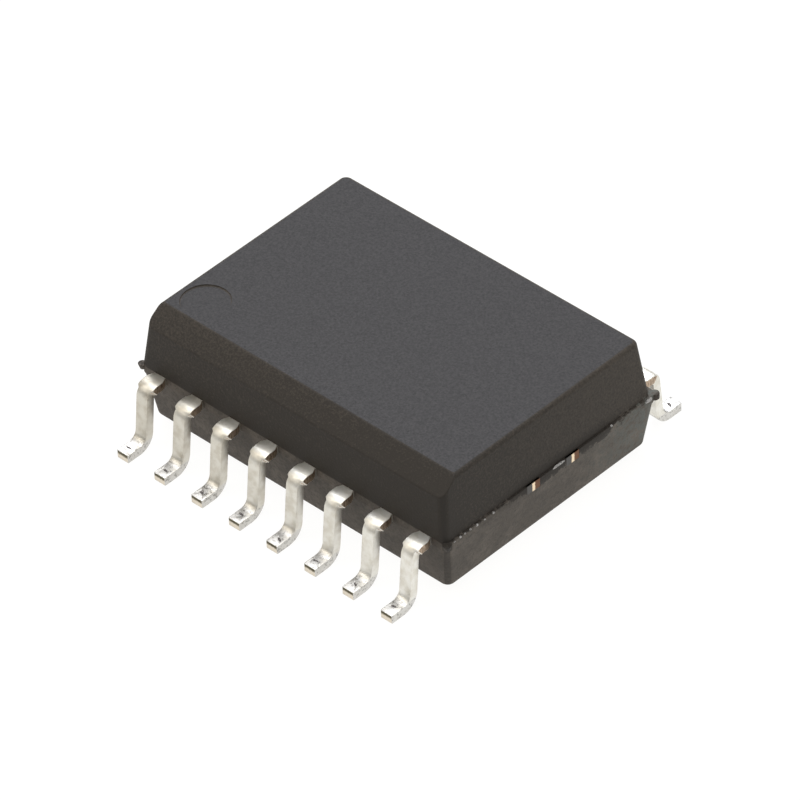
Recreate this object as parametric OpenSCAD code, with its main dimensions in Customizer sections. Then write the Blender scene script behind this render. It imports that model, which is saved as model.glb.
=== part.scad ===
// Chip in a thick, wide small-outline body with sixteen gull-wing leads.
// The frame has +X along the rows of leads and +Z up. The origin is under the
// centre of the body, on the plane that the feet stand on. Lead 1 is at -X -Y.

/* [Leads] */
// Distance between neighbouring leads
pitch = 1.27; // [1.2:0.01:1.35]
// Distance across both rows, tip to tip
span = 10.4; // [10.16:0.02:10.66]
// Width of a leg and foot
lead_w = 0.38; // [0.35:0.01:0.49]
// Thickness of the lead frame's sheet
sheet_t = 0.25; // [0.23:0.01:0.3]
// Height of the middle of the lead frame's sheet
frame_z = 1.7; // [1.5:0.01:1.9]
// Angle by which a leg leans outwards, in degrees
leg_lean = 6; // [2:0.5:10]
// Inner radius of the bend at the shoulder
shoulder_r = 0.1; // [0.06:0.01:0.16]
// Inner radius of the bend at the heel
heel_r = 0.25; // [0.15:0.01:0.3]
// Length of the flat underside of a foot
foot_flat = 0.41; // [0.3:0.01:0.48]
// Width across the two stubs left by the cut dam bar
stub_w = 0.6; // [0.52:0.01:0.7]
// Length of the slope at each end of a stub
stub_slope = 0.13; // [0.05:0.01:0.16]
// Bare lead between the body and its stubs
stub_gap = 0.05; // [0.02:0.01:0.1]

/* [Fingers inside the body] */
// Distance of the finger tips from the middle of the body
finger_in = 1.8; // [1.7:0.01:1.95]
// Length of the straight tip that takes the bond wire
finger_tip_l = 0.35; // [0.3:0.01:0.45]
// Width of a finger's tip
finger_tip_w = 0.5; // [0.35:0.01:0.6]
// Width of the anchor that locks a finger in the body
anchor_w = 0.72; // [0.6:0.01:0.85]
// Length of the anchor
anchor_l = 0.2; // [0.1:0.01:0.3]
// Distance from the anchor to the body's side wall
anchor_cover = 0.6; // [0.5:0.01:0.75]
// Spacing of the finger tips as a share of the pitch
finger_fan = 0.72; // [0.65:0.01:0.85]

/* [Body] */
// Body past the middle of the outermost lead
end_margin = 0.685; // [0.62:0.005:0.8]
// Width of the lower half at the parting line
body_w = 7.48; // [7.4:0.01:7.6]
// Height of the top face above the feet
total_h = 3.52; // [3.3:0.01:3.55]
// Height of the underside above the feet
standoff = 0.2; // [0.1:0.01:0.25]
// Draft angle of the upper half's walls, in degrees
upper_draft = 6.5; // [4:0.5:8]
// Draft angle of the lower half's walls, in degrees
lower_draft = 8; // [4:0.5:9]
// Radius of the upright corners
corner_r = 0.22; // [0.12:0.01:0.4]
// Rounding of the top edges
top_edge_r = 0.14; // [0.05:0.01:0.17]
// Rounding of the bottom edges
bottom_edge_r = 0.12; // [0.05:0.01:0.14]
// Inset of the upper half's ends from the lower half's
rim_step_x = 0.02; // [0:0.01:0.04]
// Inset of the upper half's sides from the lower half's
rim_step_y = 0.04; // [0:0.01:0.05]
// Offset of the upper half along the rows
shift_x = -0.02; // [-0.04:0.01:0.04]
// Offset of the upper half across the rows
shift_y = -0.07; // [-0.08:0.01:0.08]
// Reach of the parting band past the lower half's ends
band_end = 0.02; // [0.01:0.01:0.05]
// Reach of the parting band past the lower half's sides
band_side = 0.01; // [0:0.01:0.03]
// Corner radius of the parting band
band_r = 0.2; // [0.1:0.01:0.25]
// Radius of the round flash at each corner of the parting band
flash_r = 0.12; // [0.1:0.01:0.16]
// Distance of the flash's middle from the edges of the parting band
flash_in = 0.04; // [0.03:0.01:0.08]
// Thickness of the flash
flash_h = 0.18; // [0.08:0.01:0.2]

/* [Pin 1 marks] */
// Inset of the chamfer along the pin 1 side, on the top face
chamfer_w = 0.48; // [0.25:0.01:0.6]
// Slope of the chamfer, in degrees
chamfer_slope = 41; // [35:1:50]
// Diameter of the round pin 1 recess
recess_d = 1.32; // [0.8:0.01:1.36]
// Depth of the pin 1 recess
recess_h = 0.05; // [0.02:0.01:0.1]
// Distance from the pin 1 recess to the end edge of the top face
recess_end = 0.19; // [0.17:0.01:0.4]
// Distance from the pin 1 recess to the chamfer
recess_side = 0.02; // [0.02:0.01:0.3]

/* [Die flag] */
// Length of the flag
flag_l = 7.2; // [6.8:0.02:7.4]
// Width of the flag
flag_w = 2.6; // [2.4:0.02:2.9]
// Drop of the flag below the lead frame
flag_drop = 0.3; // [0.2:0.01:0.4]
// Width of a tie bar
tie_w = 0.45; // [0.3:0.01:0.5]
// Distance between the middles of the two tie bars at one end
tie_gap = 1.4; // [1:0.01:1.6]
// Slope of a tie bar's step, in degrees
tie_slope = 45; // [30:1:60]

/* [Dies] */
// Thickness of the die adhesive
attach_h = 0.03; // [0.02:0.01:0.05]
// Reach of the die adhesive past the die
attach_rim = 0.05; // [0.02:0.01:0.08]
// Length of the sensing die
sensor_l = 2.5; // [2.4:0.01:2.55]
// Width of the sensing die
sensor_w = 2.1; // [2:0.01:2.2]
// Thickness of the sensing die
sensor_h = 0.4; // [0.3:0.01:0.42]
// Middle of the sensing die along the flag
sensor_x = -1.8; // [-1.9:0.01:-1.75]
// Length of the sensing die's cap
cap_l = 1.9; // [1.8:0.01:1.95]
// Width of the sensing die's cap
cap_w = 1.9; // [1.8:0.01:1.95]
// Thickness of the sensing die's cap
cap_h = 0.35; // [0.25:0.01:0.4]
// Distance from the cap to the end of the sensing die away from the pads
cap_inset = 0.1; // [0.05:0.01:0.15]
// Thickness of the glass seal under the cap
seal_h = 0.02; // [0.01:0.01:0.03]
// Width of the glass seal
seal_w = 0.15; // [0.1:0.01:0.2]
// Depth of the hollow in the cap's underside
cap_hollow = 0.05; // [0.03:0.01:0.1]
// Length of the control die
control_l = 2.6; // [2.5:0.01:2.7]
// Width of the control die
control_w = 2.1; // [2:0.01:2.2]
// Thickness of the control die
control_h = 0.35; // [0.25:0.01:0.4]
// Middle of the control die along the flag
control_x = 1.45; // [1.4:0.01:1.6]

/* [Bond wires] */
// Distance across the flats of a wire
wire_d = 0.03; // [0.025:0.001:0.04]
// Distance across the flats of the ball at a wire's start
ball_d = 0.08; // [0.07:0.005:0.1]
// Height of the ball
ball_h = 0.02; // [0.015:0.005:0.03]
// Radius of a wire's bends
wire_bend = 0.1; // [0.08:0.01:0.12]
// Angle at which a wire falls, in degrees
wire_fall = 20; // [18:1:26]
// Length of the flat end of a wire
stitch_l = 0.1; // [0.06:0.01:0.15]
// Distance of the pads from the edges of the dies
pad_inset = 0.15; // [0.12:0.01:0.2]
// Distance between the pads for the leads
lead_pad_gap = 0.5; // [0.4:0.01:0.54]
// Distance between the pads for the wires from die to die
die_pad_gap = 0.3; // [0.2:0.01:0.35]

/* [Hidden] */
leads_per_row = 8;
lead_count = 2 * leads_per_row;
// First and last lead in the first row that has a bond wire
first_wired = 4;
last_wired = leads_per_row;
wired_leads = [for (k = [first_wired : lead_count - first_wired + 1]) k];
die_wires = 5;

// Colours
epoxy_black = [0.13, 0.13, 0.13];
tin = [0.80, 0.78, 0.73];
copper = [0.72, 0.45, 0.28];
adhesive_silver = [0.62, 0.62, 0.60];
silicon = [0.36, 0.38, 0.42];
frit_green = [0.40, 0.46, 0.40];
gold = [0.90, 0.70, 0.30];

$fn = 64;
arc_steps = 6;
wire_sides = 8;

// Every length that two pieces share is held to a ten-thousandth of a
// millimetre, so that their faces meet.
fine = 0.0001;
corner_clear = 0.002;
function held(v) = round(v / fine) * fine;

// Sizes of the dies and the cap
sensor_size = [sensor_l, sensor_w, sensor_h];
cap_size = [cap_l, cap_w, cap_h];
control_size = [control_l, control_w, control_h];

// Levels
frame_top = frame_z + sheet_t / 2;
frame_bottom = frame_z - sheet_t / 2;
flag_top = frame_top - flag_drop;
attach_top = flag_top + attach_h;
sensor_top = attach_top + sensor_size.z;
seal_top = sensor_top + seal_h;
control_top = attach_top + control_size.z;

// Plan of the body at the parting line, as half sizes
lower_half = [(leads_per_row - 1) * pitch / 2 + end_margin, body_w / 2];
upper_half = lower_half - [rim_step_x, rim_step_y];
band_half = lower_half + [band_end, band_side];

// Upper half: its height and the edges of its top face, before rounding
upper_h = total_h - frame_top;
top_half = upper_half - upper_h * tan(upper_draft) * [1, 1];

// Side view of a lead: the middles of its two bends and the foot of its leg
shoulder_mid = shoulder_r + sheet_t / 2;
heel_mid = heel_r + sheet_t / 2;
shoulder_z = frame_bottom - shoulder_r;
heel_z = sheet_t + heel_r;
leg_l = (shoulder_z - heel_z + (shoulder_mid + heel_mid) * sin(leg_lean)) / cos(leg_lean);
heel_x = span / 2 - foot_flat;
shoulder_x = heel_x - (shoulder_mid + heel_mid) * cos(leg_lean) - leg_l * sin(leg_lean);

// Place of lead k: the first row runs towards +X, the second one back
function lead_row(k) = k <= leads_per_row ? -1 : 1;
function lead_x(k) =
  pitch * (k <= leads_per_row ? k - (leads_per_row + 1) / 2 : (3 * leads_per_row + 1) / 2 - k);
function finger_x(k) = held(finger_fan * lead_x(k));

// Points along an arc
function arc(mid, r, from, to) = [
  for (i = [0 : arc_steps])
    let (a = from + (to - from) * i / arc_steps)
    mid + r * [cos(a), sin(a)]
];

// Sheet bent to a lead's side view, running out along +X, w wide
module bent_sheet(w) {
  shoulder = [shoulder_x, shoulder_z];
  heel = [heel_x, heel_z];
  translate([0, w / 2, 0])
    rotate([90, 0, 0])
      linear_extrude(w)
        polygon(concat(
          [[finger_in, frame_top]],
          arc(shoulder, shoulder_r + sheet_t, 90, leg_lean),
          arc(heel, heel_r, 180 + leg_lean, 270),
          [[span / 2, sheet_t], [span / 2, 0]],
          arc(heel, heel_r + sheet_t, 270, 180 + leg_lean),
          arc(shoulder, shoulder_r, leg_lean, 90),
          [[finger_in, frame_bottom]]
        ));
}

// Outline from stations of [distance out, middle, width]
function outline(stations) = concat(
  [for (s = stations) [s[0], s[1] - s[2] / 2]],
  [for (i = [len(stations) - 1 : -1 : 0]) [stations[i][0], stations[i][1] + stations[i][2] / 2]]
);

// Right half of an outline and its mirror image
function mirrored(points) = concat(
  points,
  [for (i = [len(points) - 1 : -1 : 0]) [-points[i].x, points[i].y]]
);

// Blank of lead k in the flat, from its finger tip to its foot
function lead_stations(k) =
  let (
    tip_y = -lead_row(k) * (finger_x(k) - lead_x(k)),
    anchor_x = band_half.y - anchor_cover,
    stub_x = band_half.y + stub_gap
  ) [
    [finger_in, tip_y, finger_tip_w],
    [finger_in + finger_tip_l, tip_y, finger_tip_w],
    [anchor_x - anchor_l, 0, anchor_w],
    [anchor_x, 0, anchor_w],
    [anchor_x, 0, lead_w],
    [stub_x, 0, lead_w],
    [stub_x + stub_slope, 0, stub_w],
    [span / 2, 0, stub_w]
  ];

// A lead from its tip's end, as half widths at heights: the leg and foot, the
// stubs that end under the shoulder, and everything above them
function lead_front(blank_w) = [
  [lead_w / 2, 0],
  [lead_w / 2, shoulder_z - stub_slope],
  [stub_w / 2, shoulder_z],
  [blank_w / 2, shoulder_z],
  [blank_w / 2, total_h]
];

module lead(k) {
  blank_w = 2 * abs(finger_x(k) - lead_x(k)) + anchor_w + stub_w;
  color(tin)
    translate([lead_x(k), 0, 0])
      rotate([0, 0, 90 * lead_row(k)])
        intersection() {
          bent_sheet(blank_w);
          linear_extrude(total_h)
            polygon(outline(lead_stations(k)));
          rotate([90, 0, 90])
            linear_extrude(span)
              polygon(mirrored(lead_front(blank_w)));
        }
}

// Side view of the flag's sheet: level at both ends and dropped between them
function flag_line(z, foot_x, step_x) = [
  [-band_half.x, z],
  [-step_x, z],
  [-foot_x, z - flag_drop],
  [foot_x, z - flag_drop],
  [step_x, z],
  [band_half.x, z]
];

module flag_sheet(w) {
  step = flag_drop / tan(tie_slope);
  under = sheet_t * tan(tie_slope / 2);
  top_line = flag_line(frame_top, flag_l / 2, flag_l / 2 + step);
  bottom_line = flag_line(frame_bottom, flag_l / 2 + under, flag_l / 2 + step + under);
  translate([0, w / 2, 0])
    rotate([90, 0, 0])
      linear_extrude(w)
        polygon(concat(top_line, [for (i = [len(bottom_line) - 1 : -1 : 0]) bottom_line[i]]));
}

module die_flag() {
  color(copper)
    intersection() {
      flag_sheet(flag_w);
      linear_extrude(total_h) {
        square([flag_l, flag_w], center = true);
        for (side = [-1, 1])
          translate([0, side * tie_gap / 2])
            square([2 * band_half.x, tie_w], center = true);
      }
    }
}

// Block of the given size with the middle of its underside at x on the flag
module block(x, z, size) {
  translate([x - size.x / 2, -size.y / 2, z])
    cube(size);
}

module attach(x, die) {
  color(adhesive_silver)
    block(x, flag_top, [die.x + 2 * attach_rim, die.y + 2 * attach_rim, attach_h]);
}

module sensor_attach() {
  attach(sensor_x, sensor_size);
}

module control_attach() {
  attach(control_x, control_size);
}

module sensor_die() {
  color(silicon)
    block(sensor_x, attach_top, sensor_size);
}

module control_die() {
  color(silicon)
    block(control_x, attach_top, control_size);
}

cap_x = sensor_x - sensor_size.x / 2 + cap_inset + cap_size.x / 2;
hollow_size = [cap_size.x - 2 * seal_w, cap_size.y - 2 * seal_w, cap_hollow];

module cap_seal() {
  color(frit_green)
    difference() {
      block(cap_x, sensor_top, [cap_size.x, cap_size.y, seal_h]);
      block(cap_x, sensor_top - seal_h, [hollow_size.x, hollow_size.y, 3 * seal_h]);
    }
}

module sensor_cap() {
  color(silicon)
    difference() {
      block(cap_x, seal_top, cap_size);
      block(cap_x, seal_top - cap_hollow, [hollow_size.x, hollow_size.y, 2 * cap_hollow]);
    }
}

// Bond wires: a ball, a short neck, a bend, a falling span and a flat end.
// The section is a polygon with flats above, below and at the sides.
flat_turn = 180 / wire_sides;
function corner_radius(across) = across / 2 / cos(flat_turn);

module wire_rod(l) {
  rotate(flat_turn)
    cylinder(h = l, r = corner_radius(wire_d), $fn = wire_sides);
}

module wire_span(l) {
  rotate([0, 90, 0])
    wire_rod(l);
}

module wire_arc(from, sweep) {
  rotate([90, 0, 0])
    rotate_extrude(angle = sweep, start = from)
      translate([wire_bend, 0])
        rotate(flat_turn)
          circle(r = corner_radius(wire_d), $fn = wire_sides);
}

// The wire is laid from its flat end back to its ball, so that the neck's
// end is inside the ball.
module bond_wire(from, to) {
  run = norm([to.x - from.x, to.y - from.y]);
  rise = to.z + wire_d / 2 - from.z - ball_h / 2;
  fall_l = held((run - wire_bend * (1 + 2 * sin(wire_fall)) - stitch_l) / cos(wire_fall));
  neck = rise + wire_bend * (1 - 2 * cos(wire_fall)) + fall_l * sin(wire_fall);
  color(gold) {
    translate(from)
      rotate(flat_turn)
        cylinder(h = ball_h, r = corner_radius(ball_d), $fn = wire_sides);
    translate([to.x, to.y, to.z + wire_d / 2])
      rotate([0, 0, atan2(to.y - from.y, to.x - from.x)])
        translate([-stitch_l, 0, 0]) {
          wire_span(stitch_l);
          translate([0, 0, wire_bend]) {
            wire_arc(270 - wire_fall, wire_fall);
            rotate([0, wire_fall, 0])
              translate([-fall_l, 0, -wire_bend]) {
                wire_span(fall_l);
                translate([0, 0, -wire_bend]) {
                  wire_arc(90, 90 + wire_fall);
                  rotate([0, -wire_fall, 0])
                    translate([-wire_bend, 0, -neck])
                      wire_rod(neck);
                }
              }
          }
        }
  }
}

// Order of lead k among the wired leads of its row, counted from the middle
function wired_order(k) =
  (k <= leads_per_row ? k : lead_count + 1 - k) - (first_wired + last_wired) / 2;

module wire_lead(k) {
  side = lead_row(k);
  bond_wire(
    [control_x + wired_order(k) * lead_pad_gap, side * (control_size.y / 2 - pad_inset), control_top],
    [finger_x(k), side * (finger_in + finger_tip_l / 2), frame_top]
  );
}

module wire_die(k) {
  y = (k - (die_wires + 1) / 2) * die_pad_gap;
  bond_wire(
    [sensor_x + sensor_size.x / 2 - pad_inset, y, sensor_top],
    [control_x - control_size.x / 2 + pad_inset, y, control_top]
  );
}

// Wall of one mould half seen from its end: reach out at the rim, height up,
// drafted, with its far edge rounded
function wall_profile(reach, height, draft, edge_r) =
  let (
    mid_y = height - edge_r,
    mid_x = reach - mid_y * tan(draft) - edge_r / cos(draft)
  ) concat(
    [[reach, 0]],
    [for (i = [0 : arc_steps])
      let (a = draft + (90 - draft) * i / arc_steps)
      [held(mid_x + edge_r * cos(a)), held(mid_y + edge_r * sin(a))]]
  );

// Cutter that rounds the upright corner between two drafted walls. It stands
// at the rim's corner and leans in with the walls. Its ends are held just
// outside the walls, so that they cross them.
module corner_cutter(height, draft) {
  lean = atan(sqrt(2) * tan(draft));
  half_sweep = acos(sin(draft) ^ 2) / 2;
  mid = [corner_clear - corner_r / cos(half_sweep), 0];
  rotate([0, -lean, 45])
    translate([0, 0, -corner_r])
      linear_extrude(height / cos(lean) + 2 * corner_r)
        polygon(concat(
          arc(mid, corner_r, -half_sweep, half_sweep),
          arc(mid, 2 * corner_r, half_sweep, -half_sweep)
        ));
}

// One mould half standing on its rim
module mould_half(half, height, draft, edge_r) {
  difference() {
    intersection() {
      rotate([90, 0, 90])
        linear_extrude(2 * half.x, center = true)
          polygon(mirrored(wall_profile(half.y, height, draft, edge_r)));
      rotate([90, 0, 0])
        linear_extrude(2 * half.y, center = true)
          polygon(mirrored(wall_profile(half.x, height, draft, edge_r)));
    }
    for (turn = [0 : 3])
      rotate([0, 0, 90 * turn])
        translate(turn % 2 == 0 ? [half.x, half.y, 0] : [half.y, half.x, 0])
          corner_cutter(height, draft);
  }
}

// Rectangle with rounded corners, given its half sizes
function round_box(half, r) = [
  for (turn = [0 : 3], i = [0 : arc_steps])
    let (
      a = 90 * (turn + i / arc_steps),
      mid = [half.x - r, half.y - r],
      sx = turn == 0 || turn == 3 ? 1 : -1,
      sy = turn < 2 ? 1 : -1
    )
    [sx * mid.x + r * cos(a), sy * mid.y + r * sin(a)]
];

module upper_mould() {
  translate([shift_x, shift_y, frame_top])
    difference() {
      mould_half(upper_half, upper_h, upper_draft, top_edge_r);
      translate([0, chamfer_w - top_half.y, upper_h])
        rotate([chamfer_slope, 0, 0])
          translate([-lower_half.x, -body_w / 2, 0])
            cube([2 * lower_half.x, body_w, upper_h]);
    }
}

module lower_mould() {
  translate([0, 0, frame_bottom])
    mirror([0, 0, 1])
      mould_half(lower_half, frame_bottom - standoff, lower_draft, bottom_edge_r);
}

module corner_flash() {
  for (side = [-1, 1], end = [-1, 1])
    translate([end * (band_half.x - flash_in), side * (band_half.y - flash_in), frame_top - flash_h])
      cylinder(h = flash_h, r = flash_r);
}

module pin_1_recess() {
  at_x = shift_x - top_half.x + recess_end + recess_d / 2;
  at_y = shift_y - top_half.y + chamfer_w + recess_side + recess_d / 2;
  translate([at_x, at_y, total_h - recess_h])
    cylinder(h = 2 * recess_h, d = recess_d);
}

module mould_body() {
  color(epoxy_black)
    difference() {
      union() {
        upper_mould();
        translate([0, 0, frame_bottom])
          linear_extrude(sheet_t)
            polygon(round_box(band_half, band_r));
        corner_flash();
        lower_mould();
      }
      pin_1_recess();
      for (k = [1 : lead_count])
        lead(k);
      die_flag();
      sensor_attach();
      control_attach();
      sensor_die();
      control_die();
      block(cap_x, sensor_top, [cap_size.x, cap_size.y, seal_h + cap_size.z]);
      for (k = wired_leads)
        wire_lead(k);
      for (k = [1 : die_wires])
        wire_die(k);
    }
}

mould_body();
for (k = [1 : lead_count])
  lead(k);
die_flag();
sensor_attach();
control_attach();
sensor_die();
cap_seal();
sensor_cap();
control_die();
for (k = wired_leads)
  wire_lead(k);
for (k = [1 : die_wires])
  wire_die(k);
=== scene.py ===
"""Looks of a thick, wide sixteen-lead chip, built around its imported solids.

A piece is made in millimetres and scaled to metres when it is finished. +X runs along the
rows of leads, -Y is the pin 1 side and +Z is up, with the feet standing on z = 0.
"""
import math
import random

import bpy
from mathutils import Matrix, Vector


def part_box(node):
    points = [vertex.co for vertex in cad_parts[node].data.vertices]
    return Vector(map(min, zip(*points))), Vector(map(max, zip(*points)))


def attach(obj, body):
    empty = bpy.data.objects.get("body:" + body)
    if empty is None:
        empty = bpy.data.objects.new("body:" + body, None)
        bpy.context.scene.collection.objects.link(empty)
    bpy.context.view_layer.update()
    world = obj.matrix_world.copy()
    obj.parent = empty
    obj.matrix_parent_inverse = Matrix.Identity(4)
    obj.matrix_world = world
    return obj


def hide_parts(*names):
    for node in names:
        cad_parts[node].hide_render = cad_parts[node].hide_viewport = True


MM = 0.001

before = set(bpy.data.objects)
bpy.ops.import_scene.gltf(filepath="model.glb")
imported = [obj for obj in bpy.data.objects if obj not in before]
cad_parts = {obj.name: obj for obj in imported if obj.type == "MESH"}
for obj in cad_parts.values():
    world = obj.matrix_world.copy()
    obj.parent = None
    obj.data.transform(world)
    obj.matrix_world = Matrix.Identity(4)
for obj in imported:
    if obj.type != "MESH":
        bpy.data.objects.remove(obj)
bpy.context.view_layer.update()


# ---------------------------------------------------------------- sizes, in millimetres

def box_mm(node):
    """Lowest and highest corner of a solid, in millimetres."""
    low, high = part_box(node)
    return low / MM, high / MM


BODY_LOW, BODY_HIGH = box_mm("mould_body")
FLAG_HIGH = box_mm("die_flag")[1]
FIRST_LEAD_LOW, FIRST_LEAD_HIGH = box_mm("lead_1")
LAST_LEAD_HIGH = box_mm("lead_8")[1]

LEAD_COUNT = sum(1 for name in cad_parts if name.startswith("lead_"))
ROW = LEAD_COUNT // 2

# Lead frame and leads
SHEET = 0.25
FRAME_TOP = FLAG_HIGH.z
FRAME_LOW = FRAME_TOP - SHEET
TIP = -FIRST_LEAD_LOW.y
LEAD_W = 0.38
STUB_W = 0.50
STUB_SLOPE = 0.13
STUB_GAP = 0.05
LEAD_EDGE_R = 0.018
# Steps of a bend, and those of them that the stubs go round before they narrow
BEND_STEPS = 9
STUB_STEPS = 4
LEAN = math.radians(6)
SHOULDER_R = 0.10
HEEL_R = 0.25
FOOT_FLAT = 0.41
FINGER_TIP_W = 0.50
FINGER_TIP_L = 0.35
FINGER_FAN = 0.72
ANCHOR_W = 0.72
ANCHOR_L = 0.20
ANCHOR_COVER = 0.60
# The outermost fingers reach past the middles of the outermost leads by half the anchor
PITCH = (LAST_LEAD_HIGH.x - FIRST_LEAD_LOW.x - ANCHOR_W) / (ROW - 1)

# The mark on a foot: half its height, and how far its middle is over the foot
DENT_HALF_H = 0.022
DENT_LIFT = 0.008

# Tie bars of the flag: distance of each from the middle, and width
FLAG_BAR_Y = 0.70
FLAG_BAR_W = 0.45

# Slots in the parting band: how far they reach in and out of it, and their depth for a lead
SLOT_IN = 0.3
SLOT_OUT = 0.1
LEAD_SLOT_H = 0.04

# Moulding
FLASH_R = 0.12
FLASH_IN = 0.04
FLASH_H = 0.18
FLASH_EDGE_R = 0.025
FLASH_TAPER = 0.5
BAND_HALF = Vector((BODY_HIGH.x, BODY_HIGH.y)) - Vector((1, 1)) * (FLASH_R - FLASH_IN)
LOWER_HALF = BAND_HALF - Vector((0.02, 0.01))
UPPER_HALF = LOWER_HALF - Vector((0.02, 0.04))
UPPER_SHIFT = Vector((-0.02, -0.07, 0))
UPPER_DRAFT = math.radians(6.5)
LOWER_DRAFT = math.radians(8)
CORNER_R = 0.22
BAND_R = 0.20
BAND_EDGE_R = 0.012
TOP_EDGE_R = 0.14
BOTTOM_EDGE_R = 0.12
CHAMFER_W = 0.48
CHAMFER_SLOPE = math.radians(41)
CHAMFER_EDGE = 0.035
RECESS_D = 1.32
RECESS_H = 0.05
RECESS_END = 0.19
RECESS_SIDE = 0.02
RECESS_EDGE = 0.04
RECESS_LIFT = 0.04
RECESS_TILT = math.radians(-2.9)
UPPER_H = BODY_HIGH.z - FRAME_TOP
LOWER_H = FRAME_LOW - BODY_LOW.z
TOP_HALF = UPPER_HALF - Vector((1, 1)) * UPPER_H * math.tan(UPPER_DRAFT)

# Left between faces that would share a plane: over the lumps of flash, and over the tie bars
FLASH_DROP = 0.004
SLOT_ROOF = 0.001
# Points nearer than this are at one place
CLOSE = 1e-5
# Least part of a face's normal along an axis, for a face square to it and for one that slants
SQUARE = 0.99
SLANTED = 0.15

# Which of its materials a face has: on the moulding, where 0 is its walls, and on a lead
CRUMB, TOP = 1, 2
TIN, COPPER, FOOT_CUT, GRIME = 0, 1, 2, 3


# ---------------------------------------------------------------- modelling helpers

def deselect_all():
    bpy.ops.object.select_all(action="DESELECT")


def make_active(piece):
    deselect_all()
    piece.select_set(True)
    bpy.context.view_layer.objects.active = piece


def new_block(name, low, high):
    """A block between two corners, ready to be shaped."""
    deselect_all()
    low, high = Vector(low), Vector(high)
    bpy.ops.mesh.primitive_cube_add(size=1, location=(low + high) / 2)
    block = bpy.context.object
    block.name = name
    block.scale = high - low
    bpy.ops.object.transform_apply(location=True, rotation=True, scale=True)
    return block


def edit(piece, kind):
    """Edit mode on a piece, with nothing selected."""
    make_active(piece)
    bpy.ops.object.mode_set(mode="EDIT")
    bpy.ops.mesh.select_mode(type=kind)
    bpy.ops.mesh.select_all(action="DESELECT")


def leave_edit():
    bpy.ops.object.mode_set(mode="OBJECT")


def select_where(piece, kind, wanted):
    """Goes into edit mode with the faces or edges selected that a test on the mesh picks."""
    edit(piece, kind)
    leave_edit()
    mesh = piece.data
    items = mesh.polygons if kind == "FACE" else mesh.edges
    for item in items:
        item.select = bool(wanted(mesh, item))
    bpy.ops.object.mode_set(mode="EDIT")


def edge_ends(mesh, edge):
    return [mesh.vertices[i].co for i in edge.vertices]


def apply_modifier(piece, kind, **settings):
    make_active(piece)
    modifier = piece.modifiers.new(kind.title(), kind)
    for name, value in settings.items():
        setattr(modifier, name, value)
    bpy.ops.object.modifier_apply(modifier=modifier.name)


def round_edges(piece, radius, segments, sharper_than, **settings):
    """Bevels the edges of a piece that are sharper than an angle in degrees."""
    apply_modifier(
        piece, "BEVEL", width=radius, segments=segments, limit_method="ANGLE",
        angle_limit=math.radians(sharper_than), **settings,
    )


def combine(piece, other, operation):
    """A boolean with another piece, which is used up."""
    apply_modifier(piece, "BOOLEAN", object=other, operation=operation, solver="EXACT")
    bpy.data.objects.remove(other)


def copy_of(piece, name):
    twin = piece.copy()
    twin.data = piece.data.copy()
    twin.name = name
    bpy.context.scene.collection.objects.link(twin)
    return twin


def finish_piece(piece, nodes=(), smooth_angle=35):
    """Scales a piece to metres, smooths it and hands it to the frame."""
    make_active(piece)
    piece.scale = (MM, MM, MM)
    bpy.ops.object.transform_apply(location=True, rotation=True, scale=True)
    bpy.ops.object.shade_smooth_by_angle(angle=math.radians(smooth_angle))
    apply_modifier(piece, "WEIGHTED_NORMAL", mode="FACE_AREA", weight=100, keep_sharp=True)
    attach(piece, "root")
    if nodes:
        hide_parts(*nodes)


# ---------------------------------------------------------------- finishes

class Value:
    """A socket of a shader node, so that shader maths reads as ordinary maths."""

    def __init__(self, finish, socket):
        self.finish = finish
        self.socket = socket

    def maths(self, operation, first, second=0.0):
        return self.finish.node("ShaderNodeMath", {"operation": operation}, {0: first, 1: second})

    def __add__(self, other):
        return self.maths("ADD", self, other)

    __radd__ = __add__

    def __mul__(self, other):
        return self.maths("MULTIPLY", self, other)

    __rmul__ = __mul__

    def __sub__(self, other):
        return self.maths("SUBTRACT", self, other)

    def __rsub__(self, other):
        return self.maths("SUBTRACT", other, self)

    def positive(self):
        """The value where it is above 0, and 0 elsewhere."""
        return self.maths("MAXIMUM", self, 0.0)

    def size(self):
        """The value without its sign."""
        return self.maths("ABSOLUTE", self)

    def step(self, none_at, full_at):
        """0 on one limit's side, 1 on the other's, and smooth between them."""
        settings = {"interpolation_type": "SMOOTHSTEP"}
        return self.finish.node("ShaderNodeMapRange", settings, {0: self, 1: none_at, 2: full_at})


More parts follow.
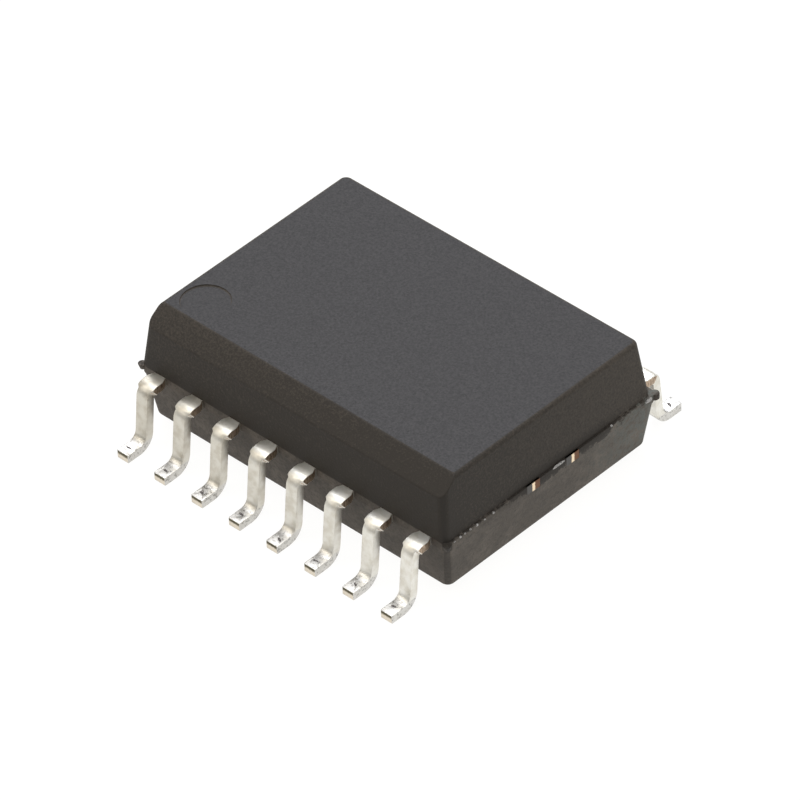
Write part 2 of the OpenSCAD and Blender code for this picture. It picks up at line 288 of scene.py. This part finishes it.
class Finish:
    """A material, built from its nodes."""

    def __init__(self, name, **constants):
        self.material = bpy.data.materials.new(name)
        self.material.use_nodes = True
        self.tree = self.material.node_tree
        self.shader = self.tree.nodes["Principled BSDF"]
        for socket, value in constants.items():
            self.shader.inputs[socket.replace("_", " ")].default_value = value
        self.place = self.node("ShaderNodeTexCoord", output="Object")

    def node(self, kind, settings=None, inputs=None, output=0):
        made = self.tree.nodes.new(kind)
        for name, value in (settings or {}).items():
            setattr(made, name, value)
        for key, value in (inputs or {}).items():
            if isinstance(value, Value):
                self.tree.links.new(value.socket, made.inputs[key])
            else:
                made.inputs[key].default_value = value
        return Value(self, made.outputs[output])

    def axes(self):
        """X, Y and Z over the piece, in millimetres."""
        split = self.node("ShaderNodeSeparateXYZ", inputs={0: self.place}).socket.node
        return [Value(self, socket) * (1 / MM) for socket in split.outputs]

    def noise(self, size, detail=2.0, roughness=0.5, stretch=(1, 1, 1)):
        """Noise from 0 to 1 whose blotches are about size millimetres across."""
        settings = {"vector_type": "POINT"}
        place = self.node("ShaderNodeMapping", settings, {0: self.place, 3: stretch})
        return self.node("ShaderNodeTexNoise", None, {
            "Vector": place,
            "Scale": 1 / (size * MM),
            "Detail": detail,
            "Roughness": roughness,
        })

    def mix(self, first, second, factor):
        """Colour between two colours."""
        settings = {"data_type": "RGBA"}
        return self.node("ShaderNodeMix", settings, {0: factor, 6: first, 7: second}, output=2)

    def feed(self, socket, value):
        self.tree.links.new(value.socket, self.shader.inputs[socket])

    def bump(self, height, depth):
        """Relief whose full height is depth millimetres."""
        inputs = {"Strength": 1.0, "Distance": depth * MM, "Height": height}
        self.feed("Normal", self.node("ShaderNodeBump", None, inputs))


def grey(level, warmth=0.0):
    """A grey, warmer where warmth is above 0."""
    return (level * (1 + warmth), level, level * (1 - warmth), 1)


def epoxy():
    """Moulding compound of the walls: fine grain, a paler, patchier lower half, and painted light
    and shade.
    """
    finish = Finish("moulding_compound", Specular_IOR_Level=0.30)
    x, y, z = finish.axes()
    over_band = z - FRAME_TOP
    grain = finish.noise(0.06, 2, 0.75)
    blotches = finish.noise(0.16, 3, 0.65)
    on_end = x.size().step(BAND_HALF.x - 0.30, BAND_HALF.x - 0.12)
    mid_end = on_end * (y - 0.45).size().step(2.7, 0.8)

    # Painted light and shade on the upper half: it is painted paler towards +Y and darker towards
    # +X, and painted shade darkens the pin 1 side, most of all low down, and the wall just above
    # the parting band in the middle of an end
    painted_light_gradient = y * 0.078 - x * 0.036
    on_front = (y + BAND_HALF.y).step(0.9, 0.2)
    shadow_low_front = on_front * over_band.step(0.7, 0.1)
    shade_above_band = mid_end * over_band.size().step(0.38, 0.02)
    shade = on_front * 0.20 + shadow_low_front * 0.24 + shade_above_band * 0.60
    speckle = (grain - 0.5) * 2.2
    dark = finish.mix(grey(0.019, 0.24), grey(0.051, 0.22), 0.50 + painted_light_gradient - shade + speckle)

    # The lower half is patchy and flecked, and bleached to a greenish grey along its ends, most
    # of all towards +Y; its patches also take the painted light gradient
    patches = finish.noise(0.9, 3, 0.6).step(0.3, 0.7)
    patchy = finish.mix(grey(0.066, 0.19), grey(0.113, 0.18), patches + painted_light_gradient)
    flecked = finish.mix(patchy, grey(0.045, 0.16), blotches.step(0.42, 0.72) * 0.7)
    grainy = finish.mix(flecked, grey(0.035, 0.16), grain.step(0.45, 0.75) * 0.5)
    bleached = on_end * y.step(0.8, 3.6) * blotches.step(0.35, 0.60)
    pale = finish.mix(grainy, (0.135, 0.155, 0.142, 1), bleached * 0.45)

    # In the middle of an end the dark finish runs raggedly down over the band, and the lumps of
    # flash have it too
    ragged = finish.noise(0.28, 4, 0.7) - 0.5
    edge_z = FRAME_TOP + 0.01 - mid_end * (SHEET - 0.04) + ragged * on_end * 0.8
    on_lump = x.size().step(BAND_HALF.x, BAND_HALF.x + 0.02)
    lower = (edge_z - z).step(-0.03, 0.06) * (1 - on_lump)

    # Painted shade: a dark line runs down the rounded corner between the pin 1 side and the +X end
    corner = UPPER_HALF.x + UPPER_HALF.y + UPPER_SHIFT.x - UPPER_SHIFT.y
    upper_lean = over_band.positive() * (2 * math.tan(UPPER_DRAFT))
    lower_lean = (FRAME_LOW - z).positive() * (2 * math.tan(LOWER_DRAFT))
    corner_shade = (x - y + upper_lean + lower_lean).step(corner - 0.150, corner - 0.131)

    halves = finish.mix(dark, pale, lower)
    finish.feed("Base Color", finish.mix(halves, grey(0.016, 0.2), corner_shade * 0.5))
    finish.feed("Roughness", 0.60 + grain * 0.12)
    finish.bump(grain + (blotches * 0.8) * lower, 0.010)
    return finish.material


def epoxy_top():
    """The same compound on the top face, smoother and a little cooler."""
    finish = Finish("moulding_compound_top", Specular_IOR_Level=0.30)
    grain = finish.noise(0.06, 2, 0.75)
    low, high = (0.0178, 0.0170, 0.0175, 1), (0.0490, 0.0468, 0.0482, 1)
    finish.feed("Base Color", finish.mix(low, high, 0.5 + (grain - 0.5) * 2.4))
    finish.feed("Roughness", 0.60 + grain * 0.12)
    finish.bump(grain, 0.010)
    return finish.material


def flash():
    """Thin, pale flash squeezed out at the parting line."""
    finish = Finish("parting_flash", Specular_IOR_Level=0.5)
    grain = finish.noise(0.04, 3, 0.6)
    finish.feed("Base Color", finish.mix(grey(0.10, 0.04), grey(0.42, 0.04), grain.step(0.35, 0.6)))
    finish.feed("Roughness", 0.35 + grain * 0.2)
    finish.bump(grain, 0.008)
    return finish.material


def tin():
    """Matt tin plate: slightly warm, cloudy and faintly streaked along the lead."""
    finish = Finish("tin_plate", Metallic=1.0)
    x, _, z = finish.axes()
    streaks = finish.noise(0.03, 3, 0.6, stretch=(1, 0.12, 0.12))
    clouds = finish.noise(0.25, 3, 0.55)
    cloudy = clouds.step(0.35, 0.7)
    # Painted light: the plate is painted brighter towards +X, and the feet are painted greyer as a
    # painted shade that dims their sheen, with real dark scuffs on them
    painted_dim_tone = finish.mix((0.63, 0.60, 0.525, 1), (0.53, 0.49, 0.41, 1), cloudy)
    painted_lit_tone = finish.mix((0.84, 0.825, 0.77, 1), (0.72, 0.69, 0.61, 1), cloudy)
    plate = finish.mix(painted_dim_tone, painted_lit_tone, 0.5 + x * 0.1)
    scuffs = finish.noise(0.08, 2, 0.6).step(0.52, 0.66)
    foot_shade_and_scuffs = finish.mix((0.62, 0.61, 0.59, 1), (0.22, 0.215, 0.21, 1), scuffs)
    on_foot = z.step(SHEET + 0.10, SHEET + 0.01)
    finish.feed("Base Color", finish.mix(plate, foot_shade_and_scuffs, on_foot * 0.7))
    finish.feed("Roughness", 0.36 + clouds * 0.12 + streaks * 0.06)
    finish.bump(streaks * 0.5 + clouds * 0.5, 0.004)
    return finish.material


def cut_copper():
    """Bare sheared copper, brown and uneven."""
    finish = Finish("cut_copper", Metallic=1.0)
    smear = finish.noise(0.05, 3, 0.6, stretch=(1, 1, 0.3))
    colour = finish.mix((0.50, 0.39, 0.29, 1), (0.20, 0.145, 0.10, 1), smear.step(0.40, 0.70))
    finish.feed("Base Color", colour)
    finish.feed("Roughness", 0.35 + smear * 0.2)
    finish.bump(smear, 0.006)
    return finish.material


def foot_cut():
    """Cut end of a foot: plated below, with the torn dark edge of the cut along its top."""
    finish = Finish("foot_cut", Metallic=1.0)
    z = finish.axes()[2]
    smear = finish.noise(0.04, 3, 0.6)
    torn = (z + (smear - 0.5) * 0.10).step(0.12, 0.18)
    colour = finish.mix((0.72, 0.65, 0.54, 1), (0.14, 0.125, 0.08, 1), torn)
    finish.feed("Base Color", colour)
    finish.feed("Roughness", 0.40 + torn * 0.25)
    finish.bump(smear, 0.006)
    return finish.material


def dent_dark():
    """Grime in the mark left on a foot by the forming tool."""
    finish = Finish("dent_grime", Metallic=0.6)
    smear = finish.noise(0.03, 2, 0.6)
    colour = finish.mix((0.10, 0.09, 0.09, 1), (0.42, 0.39, 0.36, 1), smear.step(0.5, 0.75))
    finish.feed("Base Color", colour)
    finish.feed("Roughness", 0.45 + smear * 0.2)
    return finish.material


def tie_bar_end():
    """Cut end of a tie bar: a painted gold-coloured glint on one side, dark copper on the other."""
    finish = Finish("tie_bar_copper")
    y = finish.axes()[1]
    smear = finish.noise(0.08, 3, 0.6)
    # Compound is smeared over each bar's side towards -Y, with a painted glint beside it
    across = (y.size() - FLAG_BAR_Y) * (2 * y.step(-0.01, 0.01) - 1) + (smear - 0.5) * 0.08
    bare = across.step(-0.06, -0.03)
    painted_glint = bare * across.step(0.07, 0.03)
    metal = finish.mix((0.16, 0.08, 0.045, 1), (0.84, 0.68, 0.48, 1), painted_glint)
    colour = finish.mix(grey(0.05, 0.1), metal, bare)
    finish.feed("Metallic", bare)
    finish.feed("Base Color", colour)
    finish.feed("Roughness", 0.50 - painted_glint * 0.25)
    finish.bump(smear, 0.012)
    return finish.material


def silicon():
    """Polished silicon, with the faint blocks of its circuit."""
    finish = Finish("silicon", Metallic=0.7)
    blocks = finish.node("ShaderNodeTexVoronoi", {"distance": "CHEBYCHEV", "feature": "F1"},
                         {"Vector": finish.place, "Scale": 1 / (0.25 * MM)}, output="Color")
    finish.feed("Base Color", finish.mix((0.20, 0.21, 0.26, 1), blocks, 0.10))
    finish.feed("Roughness", 0.12 + finish.noise(0.2) * 0.08)
    return finish.material


def adhesive():
    """Silver-filled die adhesive."""
    finish = Finish("die_adhesive", Metallic=0.4)
    flakes = finish.noise(0.02, 2)
    finish.feed("Base Color", finish.mix(grey(0.35, 0.03), grey(0.6, 0.03), flakes.step(0.45, 0.6)))
    finish.feed("Roughness", 0.4 + flakes * 0.2)
    finish.bump(flakes, 0.003)
    return finish.material


def seal_glass():
    """Fused seal glass."""
    finish = Finish("seal_glass")
    swirl = finish.noise(0.08, 3)
    finish.feed("Base Color", finish.mix((0.18, 0.24, 0.19, 1), (0.30, 0.36, 0.28, 1), swirl))
    finish.feed("Roughness", 0.15 + swirl * 0.1)
    return finish.material


def gold():
    """Drawn gold wire."""
    finish = Finish("gold_wire", Metallic=1.0)
    drawn = finish.noise(0.02, 2)
    finish.feed("Base Color", finish.mix((0.95, 0.70, 0.30, 1), (0.85, 0.58, 0.22, 1), drawn))
    finish.feed("Roughness", 0.18 + drawn * 0.12)
    return finish.material


def pale_floor():
    """Bare pale ground, nearly white and evenly lit."""
    finish = Finish("pale_floor", Roughness=0.8, Specular_IOR_Level=0.1, Emission_Strength=0.96)
    finish.shader.inputs["Emission Color"].default_value = (1, 0.995, 0.985, 1)
    mottle = finish.noise(30, 2)
    finish.feed("Base Color", finish.mix(grey(0.07), grey(0.08), mottle))
    return finish.material


# ---------------------------------------------------------------- moulded body

def mould_half(name, half, height, draft, edge_r):
    """One half of the moulding, standing on its rim.

    A plate with round corners is pulled up, drawn in by its draft and rounded at its far face.
    """
    deselect_all()
    bpy.ops.mesh.primitive_plane_add(size=2)
    piece = bpy.context.object
    piece.name = name
    piece.scale = (half.x, half.y, 1)
    bpy.ops.object.transform_apply(location=True, rotation=True, scale=True)
    edit(piece, "VERT")
    bpy.ops.mesh.select_all(action="SELECT")
    bpy.ops.mesh.bevel(offset=CORNER_R, offset_type="OFFSET", segments=10, affect="VERTICES")
    bpy.ops.mesh.select_all(action="SELECT")
    bpy.ops.mesh.extrude_region_move(TRANSFORM_OT_translate={"value": (0, 0, height)})
    inset = height * math.tan(draft)
    narrower = (1 - inset / half.x, 1 - inset / half.y, 1)
    bpy.ops.transform.resize(value=narrower, center_override=(0, 0, height))
    leave_edit()

    def on_far_face(mesh, edge):
        return all(abs(co.z - height) < CLOSE for co in edge_ends(mesh, edge))

    select_where(piece, "EDGE", on_far_face)
    setback = edge_r * math.tan((math.pi / 2 - draft) / 2)
    bpy.ops.mesh.bevel(offset=setback, offset_type="OFFSET", segments=6)
    bpy.ops.mesh.select_all(action="SELECT")
    bpy.ops.mesh.normals_make_consistent(inside=False)
    leave_edit()
    return piece


def upper_half():
    """The upper half, with the long bevel cut along its pin 1 side."""
    piece = mould_half("mould_upper", UPPER_HALF, UPPER_H, UPPER_DRAFT, TOP_EDGE_R)
    crease = CHAMFER_W - TOP_HALF.y
    edit(piece, "FACE")
    bpy.ops.mesh.select_all(action="SELECT")
    bpy.ops.mesh.bisect(
        plane_co=(0, crease, UPPER_H),
        plane_no=(0, -math.sin(CHAMFER_SLOPE), math.cos(CHAMFER_SLOPE)),
        use_fill=True,
        clear_outer=True,
        threshold=1e-6,
    )
    leave_edit()

    def on_chamfer(mesh, edge):
        return all(
            abs((co.z - UPPER_H) - (co.y - crease) * math.tan(CHAMFER_SLOPE)) < 1e-4
            for co in edge_ends(mesh, edge)
        )

    select_where(piece, "EDGE", on_chamfer)
    bpy.ops.mesh.bevel(offset=CHAMFER_EDGE, offset_type="OFFSET", segments=3)
    leave_edit()
    return piece


def pin_1_recess():
    """What the pin 1 recess takes out of the top of the upper half."""
    at_x = RECESS_END + RECESS_D / 2 - TOP_HALF.x
    at_y = CHAMFER_W + RECESS_SIDE + RECESS_D / 2 - TOP_HALF.y
    deselect_all()
    bpy.ops.mesh.primitive_cylinder_add(vertices=72, radius=RECESS_D / 2, depth=2 * RECESS_H)
    cutter = bpy.context.object

    def around_floor(mesh, edge):
        return all(co.z < CLOSE - RECESS_H for co in edge_ends(mesh, edge))

    select_where(cutter, "EDGE", around_floor)
    bpy.ops.mesh.bevel(offset=RECESS_EDGE, offset_type="OFFSET", segments=3)
    leave_edit()
    # Its floor leans, and runs out to nothing towards the +X end of the pin 1 side
    cutter.data.transform(Matrix.Rotation(RECESS_TILT, 4, Vector((1, 1, 0))))
    cutter.data.transform(Matrix.Translation((at_x, at_y, UPPER_H + RECESS_LIFT)))
    return cutter


def corner_flash(end, side):
    """The round lump squeezed out at one corner of the parting line."""
    mid_z = FRAME_TOP - FLASH_H / 2 - FLASH_DROP
    place = (end * (BAND_HALF.x - FLASH_IN), side * (BAND_HALF.y - FLASH_IN), mid_z)
    # The lumps taper downwards, apart from the full one at the +X +Y corner
    taper = 1.0 if end > 0 and side > 0 else FLASH_TAPER
    deselect_all()
    bpy.ops.mesh.primitive_cone_add(
        vertices=24, radius1=FLASH_R * taper, radius2=FLASH_R, depth=FLASH_H, location=place
    )
    lump = bpy.context.object
    bpy.ops.object.transform_apply(location=True, rotation=True, scale=True)
    round_edges(lump, FLASH_EDGE_R, segments=3, sharper_than=60)
    return lump


def flash_bit(place, size):
    """One crumb or sliver of flash on the parting line."""
    deselect_all()
    bpy.ops.mesh.primitive_ico_sphere_add(subdivisions=2, radius=1, location=place)
    bit = bpy.context.object
    bit.scale = size
    bpy.ops.object.transform_apply(location=True, rotation=True, scale=True)
    return bit


def end_flash(rng):
    """Flash along the parting line of the +X end."""
    edge = Vector((BAND_HALF.x, 0, FRAME_TOP - 0.02))
    crumbs = flash_bit(edge + Vector((-0.01, 0.2, 0)), (0.035, 0.24, 0.03))

    def add_bit(place, size):
        combine(crumbs, flash_bit(edge + Vector(place), size), "UNION")

    # Past the sliver between the tie bars: a lump by the corner, and a crumb on the way to it
    add_bit((-0.02, 0.92 * BAND_HALF.y, -0.05), (0.06, 0.14, 0.07))
    add_bit((-0.01, 0.56 * BAND_HALF.y, 0), (0.03, 0.04, 0.03))
    # A row of crumbs near the pin 1 side
    y = -0.93 * BAND_HALF.y
    while y < -0.52 * BAND_HALF.y:
        size = rng.uniform(0.03, 0.055)
        add_bit((-0.01, y, rng.uniform(-0.03, 0.01)), (0.03, size, size * 0.7))
        y += rng.uniform(0.14, 0.34)
    return crumbs


def tie_bar_slots():
    """What the flag's bars take out of the parting band where they come out at its ends."""
    slots = []
    for end in (-1, 1):
        xs = sorted((end * (BAND_HALF.x - SLOT_IN), end * (BAND_HALF.x + SLOT_OUT)))
        for y in (-FLAG_BAR_Y, FLAG_BAR_Y):
            low = (xs[0], y - FLAG_BAR_W / 2, FRAME_LOW)
            high = (xs[1], y + FLAG_BAR_W / 2, FRAME_TOP - SLOT_ROOF)
            slots.append(new_block("slot", low, high))
    return slots


def lead_slots():
    """Shallow slots in the top of the parting band, in which the leads lie bare and flush."""
    slots = []
    for k in range(1, LEAD_COUNT + 1):
        x, side = lead_place(k)
        ys = sorted((side * (BAND_HALF.y - SLOT_IN), side * (BAND_HALF.y + SLOT_OUT)))
        low = (x - LEAD_W / 2, ys[0], FRAME_TOP - LEAD_SLOT_H)
        high = (x + LEAD_W / 2, ys[1], FRAME_TOP + SLOT_OUT)
        slots.append(new_block("slot", low, high))
    return slots


def parting_band():
    """The band between the halves, with its corner flash and its slots."""
    low = (-BAND_HALF.x, -BAND_HALF.y, FRAME_LOW)
    high = (BAND_HALF.x, BAND_HALF.y, FRAME_TOP)
    band = new_block("parting_band", low, high)

    def upright(mesh, edge):
        a, b = edge_ends(mesh, edge)
        return abs(a.z - b.z) > SHEET / 2

    select_where(band, "EDGE", upright)
    bpy.ops.mesh.bevel(offset=BAND_R, offset_type="OFFSET", segments=6)
    leave_edit()
    round_edges(band, BAND_EDGE_R, segments=2, sharper_than=60)
    for end in (-1, 1):
        for side in (-1, 1):
            combine(band, corner_flash(end, side), "UNION")
    for slot in tie_bar_slots() + lead_slots():
        combine(band, slot, "DIFFERENCE")
    return band


def mould_body():
    """The moulding: its two halves, and the parting band between them with its flash."""
    body = upper_half()
    for material in (epoxy(), flash(), epoxy_top()):
        body.data.materials.append(material)
    combine(body, pin_1_recess(), "DIFFERENCE")
    body.data.transform(Matrix.Translation(UPPER_SHIFT + Vector((0, 0, FRAME_TOP))))
    lower = mould_half("mould_lower", LOWER_HALF, LOWER_H, LOWER_DRAFT, BOTTOM_EDGE_R)
    turned_over = Matrix.Rotation(math.pi, 4, "X")
    lower.data.transform(Matrix.Translation((0, 0, FRAME_LOW)) @ turned_over)
    band = parting_band()
    crumbs = end_flash(random.Random(3))
    for material in body.data.materials:
        band.data.materials.append(material)
        crumbs.data.materials.append(material)
    for face in crumbs.data.polygons:
        face.material_index = CRUMB
    combine(band, crumbs, "UNION")
    combine(body, band, "UNION")
    combine(body, lower, "UNION")
    for face in body.data.polygons:
        if face.normal.z > SQUARE and face.center.z > BODY_HIGH.z - 2 * RECESS_H:
            face.material_index = TOP
    body.name = "moulded_body"
    finish_piece(body, ["mould_body"], smooth_angle=30)


# ---------------------------------------------------------------- leads

def end_face(piece, direction):
    """Selects the face furthest along a direction, in edit mode."""
    mesh = piece.data
    furthest = max(mesh.polygons, key=lambda face: face.center.dot(direction)).index
    select_where(piece, "FACE", lambda mesh, face: face.index == furthest)


def bent_lead():
    """A lead outside the body: one end face of a block, pulled and spun along its side view."""
    shoulder_mid = SHOULDER_R + SHEET / 2
    heel_mid = HEEL_R + SHEET / 2
    shoulder_z = FRAME_LOW - SHOULDER_R
    heel_z = SHEET + HEEL_R
    both = shoulder_mid + heel_mid
    leg = (shoulder_z - heel_z + both * math.sin(LEAN)) / math.cos(LEAN)
    heel_y = TIP - FOOT_FLAT
    shoulder_y = heel_y - both * math.cos(LEAN) - leg * math.sin(LEAN)
    inner_y = BAND_HALF.y - ANCHOR_COVER
    stub_y = BAND_HALF.y + STUB_GAP
    turn = (math.pi / 2 - LEAN) / BEND_STEPS

    def pull(y, z=0.0):
        bpy.ops.mesh.extrude_region_move(TRANSFORM_OT_translate={"value": (0, y, z)})

    def widen(width_from, width_to):
        bpy.ops.transform.resize(value=(width_to / width_from, 1, 1), center_override=(0, 0, 0))

    def spin(steps, y, z, side):
        bpy.ops.mesh.spin(steps=steps, angle=steps * turn, center=(0, -y, z), axis=(side, 0, 0))

    lead = new_block("lead", (-LEAD_W / 2, -stub_y, FRAME_LOW), (LEAD_W / 2, -inner_y, FRAME_TOP))
    end_face(lead, Vector((0, -1, 0)))
    # The stubs of the cut dam bar: from beside the body to part of the way round the shoulder
    pull(-STUB_SLOPE)
    widen(LEAD_W, STUB_W)
    pull(stub_y + STUB_SLOPE - shoulder_y)
    spin(STUB_STEPS, shoulder_y, shoulder_z, -1)
    spin(1, shoulder_y, shoulder_z, -1)
    widen(STUB_W, LEAD_W)
    spin(BEND_STEPS - STUB_STEPS - 1, shoulder_y, shoulder_z, -1)
    pull(-math.sin(LEAN) * leg, -math.cos(LEAN) * leg)
    spin(BEND_STEPS, heel_y, heel_z, 1)
    pull(-FOOT_FLAT)
    bpy.ops.mesh.select_all(action="SELECT")
    bpy.ops.mesh.remove_doubles(threshold=CLOSE)
    bpy.ops.mesh.normals_make_consistent(inside=False)
    leave_edit()
    return lead


def lead_form():
    """One lead outside the body, with its cut faces marked by their own materials."""
    lead = bent_lead()
    for material in (tin(), cut_copper(), foot_cut(), dent_dark()):
        lead.data.materials.append(material)
    for face in lead.data.polygons:
        past_side = abs(face.center.x) - LEAD_W / 2
        from_tip = abs(face.center.y + TIP)
        if abs(face.normal.x) > SLANTED and past_side > 0.005:
            face.material_index = COPPER
        elif face.normal.y < -SQUARE and from_tip < 0.01:
            face.material_index = FOOT_CUT
    round_edges(lead, LEAD_EDGE_R, segments=2, sharper_than=40, material=TIN)
    return lead


def foot_dent(rng):
    """A small pressed mark for the top of a foot."""
    deselect_all()
    across = rng.uniform(-0.05, 0.05)
    along = -TIP + rng.uniform(0.22, 0.32)
    place = (across, along, SHEET + DENT_LIFT)
    bpy.ops.mesh.primitive_ico_sphere_add(subdivisions=3, radius=1, location=place)
    dent = bpy.context.object
    dent.scale = (rng.uniform(0.06, 0.10), rng.uniform(0.03, 0.045), DENT_HALF_H)
    dent.rotation_euler = (0, 0, rng.uniform(-0.7, 0.7))
    bpy.ops.object.transform_apply(location=True, rotation=True, scale=True)
    return dent


def add_finger(lead, tip_shift):
    """Runs a lead on inside the body: an anchor, then a taper to its shifted tip."""
    anchor = BAND_HALF.y - ANCHOR_COVER
    tip = -FIRST_LEAD_HIGH.y
    steps = [
        (0, 0, ANCHOR_W),
        (0, ANCHOR_L, ANCHOR_W),
        (tip_shift, anchor - ANCHOR_L - tip - FINGER_TIP_L, FINGER_TIP_W),
        (0, FINGER_TIP_L, FINGER_TIP_W),
    ]
    end_face(lead, Vector((0, 1, 0)))
    x, y, width = 0, -anchor, LEAD_W
    for aside, inwards, new_width in steps:
        bpy.ops.mesh.extrude_region_move(TRANSFORM_OT_translate={"value": (aside, inwards, 0)})
        x += aside
        y += inwards
        bpy.ops.transform.resize(value=(new_width / width, 1, 1), center_override=(x, y, FRAME_TOP))
        width = new_width
    leave_edit()


def lead_place(k):
    """Middle of lead k along the row, and the side of its row."""
    if k <= ROW:
        return PITCH * (k - (ROW + 1) / 2), -1
    return PITCH * ((3 * ROW + 1) / 2 - k), 1


def leads():
    """All the leads: the one form, each with its own foot mark and its own finger."""
    form = lead_form()
    rng = random.Random(7)
    for k in range(1, LEAD_COUNT + 1):
        lead = copy_of(form, f"gull_lead_{k}")
        dent = foot_dent(rng)
        dent.data.materials.append(form.data.materials[GRIME])
        combine(lead, dent, "DIFFERENCE")
        x, side = lead_place(k)
        add_finger(lead, side * (1 - FINGER_FAN) * x)
        lead.data.transform(Matrix.Rotation(math.pi * (side > 0), 4, "Z"))
        lead.data.transform(Matrix.Translation((x, 0, 0)))
        finish_piece(lead, [f"lead_{k}"])
    bpy.data.objects.remove(form)


# ---------------------------------------------------------------- solids that stay

def dress(node, material):
    """Gives a solid its finish."""
    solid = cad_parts[node]
    solid.data.materials.clear()
    solid.data.materials.append(material)


def dress_inside():
    """Finishes for the solids inside the moulding, which keep their own shapes."""
    chips, glue, wire = silicon(), adhesive(), gold()
    dress("die_flag", tie_bar_end())
    dress("cap_seal", seal_glass())
    for node in ("sensor_die", "sensor_cap", "control_die"):
        dress(node, chips)
    for node in ("sensor_attach", "control_attach"):
        dress(node, glue)
    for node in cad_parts:
        if node.startswith("wire_"):
            dress(node, wire)


# ---------------------------------------------------------------- studio

def studio_floor():
    deselect_all()
    bpy.ops.mesh.primitive_plane_add(size=3)
    floor = bpy.context.object
    floor.name = "floor"
    floor.data.materials.append(pale_floor())


def softbox(name, azimuth, elevation, size, power, colour=(1, 1, 1), distance=0.6):
    """A square light aimed at the chip. Azimuth 0 is on the -Y side, 90 on the +X side."""
    a, e = math.radians(azimuth), math.radians(elevation)
    away = Vector((math.sin(a) * math.cos(e), -math.cos(a) * math.cos(e), math.sin(e)))
    lamp = bpy.data.lights.new(name, "AREA")
    lamp.size = size
    lamp.energy = power
    lamp.color = colour
    light = bpy.data.objects.new(name, lamp)
    light.location = away * distance
    light.rotation_euler = away.to_track_quat("Z", "Y").to_euler()
    bpy.context.scene.collection.objects.link(light)


def studio_light():
    world = bpy.data.worlds.new("studio")
    bpy.context.scene.world = world
    world.use_nodes = True
    sky = world.node_tree.nodes["Background"]
    sky.inputs["Color"].default_value = (1.0, 0.99, 0.975, 1)
    sky.inputs["Strength"].default_value = 0.22
    softbox("overhead", azimuth=45, elevation=88, size=0.5, power=2.5)
    softbox("rear", azimuth=225, elevation=45, size=0.5, power=2.8, colour=(0.92, 0.94, 1.0))
    softbox("right", azimuth=100, elevation=20, size=0.4, power=0.7, colour=(0.96, 1.0, 0.98))
    softbox("front", azimuth=-45, elevation=40, size=0.35, power=1.0, colour=(1.0, 0.95, 0.87))
    bpy.context.scene.view_settings.view_transform = "Standard"
    bpy.context.scene.view_settings.look = "None"


def camera():
    """Looks down on the pin 1 side and the +X end of the body, slightly rolled."""
    azimuth, elevation, roll = math.radians(44.873), math.radians(40.583), math.radians(-2.489)
    distance, aside, below, aim_height = 198.33, 0.0539, -0.461, 1.7
    back = Vector((
        math.sin(azimuth) * math.cos(elevation),
        -math.cos(azimuth) * math.cos(elevation),
        math.sin(elevation),
    ))
    level = Vector((math.cos(azimuth), math.sin(azimuth), 0))
    upright = back.cross(level)
    right = level * math.cos(roll) + upright * math.sin(roll)
    up = upright * math.cos(roll) - level * math.sin(roll)
    spot = Vector((0, 0, aim_height)) + right * aside + up * below + back * distance
    lens = bpy.data.cameras.new("camera")
    lens.lens = 365.1
    lens.sensor_width = 36
    lens.clip_start = 0.01
    lens.clip_end = 10
    view = bpy.data.objects.new("camera", lens)
    turn = Matrix((right, up, back)).transposed()
    view.matrix_world = Matrix.Translation(spot * MM) @ turn.to_4x4()
    bpy.context.scene.collection.objects.link(view)
    bpy.context.scene.camera = view


camera()
mould_body()
leads()
dress_inside()
studio_floor()
studio_light()
